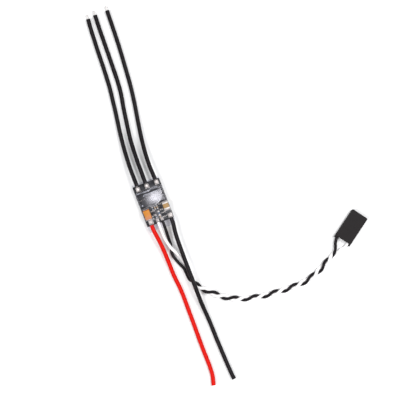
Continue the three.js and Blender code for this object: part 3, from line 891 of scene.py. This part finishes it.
tip = {"radius": 0.5, "length": 2.1, "turns": 0.3, "rounded": 0.35}
cutEnd = {"strandRadius": 0.105, "proud": 0.1, "rings": (1, 6, 12)}


def addTip(phase):
    end, last = (Vector(point) for point in (phaseRoutes[phase][-1], phaseRoutes[phase][-2]))
    along = (end - last).normalized()
    bm = bmesh.new()
    rod = strandRod(bm, tip["radius"], tip["length"], tip["turns"], end - along * 0.05, along)
    far = end + along * tip["length"]
    for corner in rod:    # the solder rounds the very end
        left = (far - corner.co).dot(along)
        if left < tip["rounded"]:
            middle = far - along * left
            share = 0.55 + 0.45 * (max(0, left) / tip["rounded"]) ** 0.5
            corner.co = middle + (corner.co - middle) * share
    bmesh.ops.recalc_face_normals(bm, faces=bm.faces)
    piece = addPiece(f"tip_{phase}", bm, [strandTin])
    standIn(piece, "solder", f"tinned_tip_{phase}")
    return piece


def addCutStrands(name, route):
    end, last = Vector(route[-1]), Vector(route[-2])
    along = (end - last).normalized()
    bm = bmesh.new()
    for ring, count in enumerate(cutEnd["rings"]):
        for i in range(count):
            angle = math.tau * (i + ring / 2) / count
            offset = Vector((math.cos(angle), math.sin(angle), 0))
            offset = offset * ring * 2.02 * cutEnd["strandRadius"]
            depth = 0.5 + random.uniform(-0.05, 0.02)
            place = Matrix.Translation(offset + up * (cutEnd["proud"] - 0.25 + depth / 2 - 0.25))
            bmesh.ops.create_cone(
                bm, cap_ends=True, segments=10, radius1=cutEnd["strandRadius"],
                radius2=cutEnd["strandRadius"] * 0.86, depth=depth, matrix=place)
    bmesh.ops.rotate(
        bm, cent=(0, 0, 0), matrix=up.rotation_difference(along).to_matrix(), verts=bm.verts)
    bmesh.ops.translate(bm, vec=end, verts=bm.verts)
    piece = addPiece(f"cut_strands_{name}", bm, [strandTin])
    standIn(piece, "solder")
    return piece


tips = {phase: addTip(phase) for phase in phaseRoutes}
cutStrands = {
    "positive": addCutStrands("positive", positiveRoute),
    "negative": addCutStrands("negative", negativeRoute)}
print("free ends finished")


# ---- plug

plug = {"middle": (74.45, -39.35), "heading": 35.5, "width": 7.66, "height": 2.55}


def plugFinish():
    finish = Finish("plugPlastic")
    spark = finish.grain(0.07, detail=2, roughness=0.7)
    flow = finish.grain(2.5, detail=3)
    skin = finish.blend(spark * 0.5 + flow * 0.5, colour(19, 17, 18), colour(41, 38, 39))
    return finish.done(finish.principled(
        Base_Color=skin, Roughness=flow * 0.1 + 0.52, Specular_IOR_Level=0.25,
        Normal=finish.bump(spark, 0.012, 0.8)))


plugPlastic = plugFinish()


def refined(node, edge, sharpest=30):    # a merged copy of a CAD node with its edges broken
    bm = bmesh.new()
    bm.from_mesh(nodes[node].data)
    bmesh.ops.scale(bm, vec=(1 / mm, 1 / mm, 1 / mm), verts=bm.verts)
    bmesh.ops.remove_doubles(bm, verts=bm.verts, dist=0.002)
    bmesh.ops.dissolve_limit(
        bm, angle_limit=math.radians(1), verts=bm.verts[:], edges=bm.edges[:],
        use_dissolve_boundaries=False)
    sharp = [e for e in bm.edges if e.is_manifold and e.calc_face_angle() > math.radians(sharpest)]
    breakEdges(bm, sharp, edge, clamp=True)
    return bm


def inPlug(x, y, z):    # a point given along, across and up in the plug
    turned = Matrix.Rotation(math.radians(plug["heading"]), 3, "Z")
    return turned @ Vector((x, y, z)) + Vector((*plug["middle"], 0))


def addPlug():
    housing = addPiece("plug_shell", refined("plug_housing", 0.06), [plugPlastic])
    groove = bmesh.new()
    block(groove, (0.18, plug["width"] + 1, 0.12), inPlug(-1.4, 0, plug["height"]),
          turn=math.radians(plug["heading"]))
    carved(housing, groove, 12)
    standIn(housing, "plug_plastic", "plug_housing")
    contacts = {}
    for shade in ("black", "white"):
        crimped = refined(f"crimp_contact_{shade}", 0.03)
        contacts[shade] = addPiece(f"contact_{shade}", crimped, [contactBrass])
        standIn(contacts[shade], "contact_brass", f"crimp_contact_{shade}")
    return housing, contacts


housing, contacts = addPlug()
print("plug made")


# ---- clear heat-shrink sleeve

film = {
    "length": 21.6, "side": 6.04, "bulge": 0.1, "wall": 0.14, "rows": 128, "columns": 70,
    "sideSteps": 5, "passes": 700, "pull": 0.72, "pressure": 0.0018, "slack": 0.06, "sag": 0.25}
pocket = {"middle": (-1.2, 4.2), "reach": (6.4, 5.4), "base": 3.2, "rise": 0.6}    # trapped air
paintedFoldHighlights = {    # painted highlights along the folds, drawn as milky white: y, half width, start and end along x, share of white
    "left": (6.35, 0.3, -5.2, -0.2, 0.34), "right": (6.5, 0.42, 0.5, 4, 0.3),
    "crown": (5.2, 0.2, -2.4, 4.6, 0.4)}
# painted glints: small round white spots on the film
paintedGlints = {"left": (-4.7, 1.1, 0.4, 0.6), "middle": (-2.75, 4.8, 0.3, 0.5)}    # x, y, radius, share


def filmFinish():
    finish = Finish("clearFilm")
    crinkle = finish.grain(0.9, detail=4, roughness=0.62, stretch=(0.35, 1, 0.6))
    haze = finish.grain(2.2, detail=3, stretch=(0.6, 1, 1))
    relief = finish.bump(crinkle, 0.012, 0.5)
    soft = finish.bump(haze, 0.006, 0.4)
    facing = finish.node("LayerWeight", {}, {"Blend": 0.5, "Normal": soft}, output="Facing")
    through = finish.node("BsdfTransparent", {}, {"Color": (0.965, 0.965, 0.975, 1)})
    milk = finish.principled(Base_Color=colour(206, 208, 222), Roughness=0.5, Normal=relief)
    gloss = finish.principled(
        Base_Color=(0.93, 0.92, 1, 1), Metallic=1, Roughness=haze * 0.1 + 0.24, Normal=soft)
    across, along = finish.along(0), finish.along(1)
    # milky haze in the film, with painted highlights along the folds and painted glints added to it
    # below
    white = haze.above(0.35, 0.8) * 0.012 + 0.002
    # painted highlights: milky white laid along each fold
    for y, half, start, end, share in paintedFoldHighlights.values():
        foldHighlight = 1 - (along + (haze - 0.5) * 0.8 - y) ** 2 * (1 / half ** 2)
        ends = across.above(start - 0.4, start), 1 - across.above(end, end + 0.4)
        foldHighlight = foldHighlight.above(0, 1) * ends[0] * ends[1]
        white = white + foldHighlight * crinkle.above(0.3, 0.62) * share
    # painted glints: a round white spot at each place
    for x, y, radius, share in paintedGlints.values():
        glintSpot = (across - x) ** 2 + (along - y) ** 2
        white = white + (1 - glintSpot.above(0, radius ** 2)) * share
    cloudy = finish.node("MixShader", {}, {0: white, 1: through, 2: milk})
    taut = along.above(-0.9, 0.6) * (1 - along.above(6.4, 7.2))
    taut = taut * (across.above(-4.2, -1.2) * 0.7 + 0.3)
    mirrored = facing ** 4 * 0.3 + taut * 0.098 + 0.012
    return finish.done(finish.node("MixShader", {}, {0: mirrored, 1: cloudy, 2: gloss}))


def contentHeights(xs, ys, looking):    # where the film would touch, looking down (-1) or up (1)
    bm = bmesh.new()
    outside = ("heat_shrink_sleeve", "plug_housing", "signal_pair_twisted")
    for name, node in nodes.items():
        if name not in outside:
            bm.from_mesh(node.data)
    bmesh.ops.scale(bm, vec=(1 / mm, 1 / mm, 1 / mm), verts=bm.verts)
    tree = BVHTree.FromBMesh(bm)
    bm.free()
    heights = np.full((len(xs), len(ys)), np.nan)
    for i, x in enumerate(xs):
        for j, y in enumerate(ys):
            hit = tree.ray_cast(Vector((x, y, -20 * looking)), Vector((0, 0, looking)))[0]
            if hit:
                heights[i, j] = hit.z
    return heights


def smoothStep(low, high, value):
    share = np.clip((value - low) / (high - low), 0, 1)
    return share * share * (3 - 2 * share)


def shrunk(content, edge, start):    # a sheet pulled tight over its content, held at both sides
    sheet = np.full(content.shape, start)
    content = np.where(np.isnan(content), -99, content)
    sheet[0], sheet[-1] = edge, edge
    pull = film["pull"]
    for i in range(film["passes"]):
        across = (sheet[2:, 1:-1] + sheet[:-2, 1:-1]) / 2
        along = (sheet[1:-1, 2:] + sheet[1:-1, :-2]) / 2
        sunk = pull * across + (1 - pull) * along - film["pressure"]
        sheet[1:-1, 1:-1] = np.maximum(content[1:-1, 1:-1], sunk)
        sheet[:, 0], sheet[:, -1] = sheet[:, 1], sheet[:, -2]
    return sheet


def addFilm():
    half = film["length"] / 2
    xs = np.linspace(-film["side"], film["side"], film["columns"])
    ys = np.linspace(-half, half, film["rows"])
    past = smoothStep(8.3, 10.8, -ys) + smoothStep(10.0, 11.2, ys)    # past the ends of the board
    topEdge = 2.5 + past * 0.95
    underEdge = 1.1 + past * 1.3
    across, along = np.meshgrid(xs, ys, indexing="ij")
    air = 1 - ((across - pocket["middle"][0]) / pocket["reach"][0]) ** 2
    air = air - ((along - pocket["middle"][1]) / pocket["reach"][1]) ** 2
    trapped = np.where((air > 0) & (along < 5.5), pocket["base"] + pocket["rise"] * air, -99)
    above = contentHeights(xs, ys, -1) + film["slack"]
    above = np.fmax(above, np.where(np.abs(across) < 5.3, trapped, -99))
    top = shrunk(above, topEdge, 4.4)
    below = contentHeights(xs, ys, 1) - film["sag"]
    under = -shrunk(-below, -underEdge, 0.0)
    under = np.maximum(under, film["wall"] / 2)
    ridge = np.exp(-((along - 6.5) / 0.3) ** 2) * 0.2 - np.exp(-((along - 5.85) / 0.25) ** 2) * 0.12
    top = top + ridge * smoothStep(1.2, -0.6, across) * smoothStep(-5.9, -5.2, across)
    steps = film["sideSteps"]
    around = 2 * film["columns"] + 2 * steps
    bm = bmesh.new()
    bmesh.ops.create_grid(bm, x_segments=around, y_segments=film["rows"] - 1, size=1)
    for corner in bm.verts:
        i = round((corner.co.x + 1) / 2 * around) % around
        j = round((corner.co.y + 1) / 2 * (film["rows"] - 1))
        if i < film["columns"]:
            x, z = xs[i], top[i, j]
        elif i < film["columns"] + steps:
            share = (i - film["columns"] + 1) / (steps + 1)
            x = film["side"] + film["bulge"] * math.sin(math.pi * share)
            z = topEdge[j] + (underEdge[j] - topEdge[j]) * share
        elif i < 2 * film["columns"] + steps:
            k = 2 * film["columns"] + steps - 1 - i
            x, z = xs[k], under[k, j]
        else:
            share = (i - 2 * film["columns"] - steps + 1) / (steps + 1)
            x = -film["side"] - film["bulge"] * math.sin(math.pi * share)
            z = underEdge[j] + (topEdge[j] - underEdge[j]) * share
        x *= 1 - 0.035 * past[j]
        wave = noise.noise(Vector((x * 0.5, z * 0.5, math.copysign(3, ys[j]))))
        close = (abs(ys[j]) / half) ** 12    # 1 at the open ends, almost 0 elsewhere
        y = ys[j] + wave * 0.35 * close - math.copysign(0.12, ys[j]) * close
        fine = noise.noise(Vector((x * 0.4, y * 0.9, z))) * 0.012
        corner.co = (x, y, z + (fine if z > 1.5 else 0))
    bmesh.ops.remove_doubles(bm, verts=bm.verts, dist=0.0005)
    bmesh.ops.smooth_vert(
        bm, verts=bm.verts, factor=0.5, use_axis_x=False, use_axis_y=False, use_axis_z=True)
    bmesh.ops.recalc_face_normals(bm, faces=bm.faces)
    bmesh.ops.solidify(bm, geom=bm.faces[:], thickness=film["wall"])
    piece = addPiece("sleeve_film", bm, [filmFinish()], 60)
    standIn(piece, "clear_film", "heat_shrink_sleeve")


addFilm()
print("film shrunk over the board")


# ---- a loop over the leads that reads each shade, start and diameter and keeps none of them

for name, lead in leads.items():
    shade = name.split("_")[-1]
    if "signal" in name:
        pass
    elif "phase" in name:
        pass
    else:
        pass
    tuple(lead["start"] * mm)
    lead["diameter"] * mm
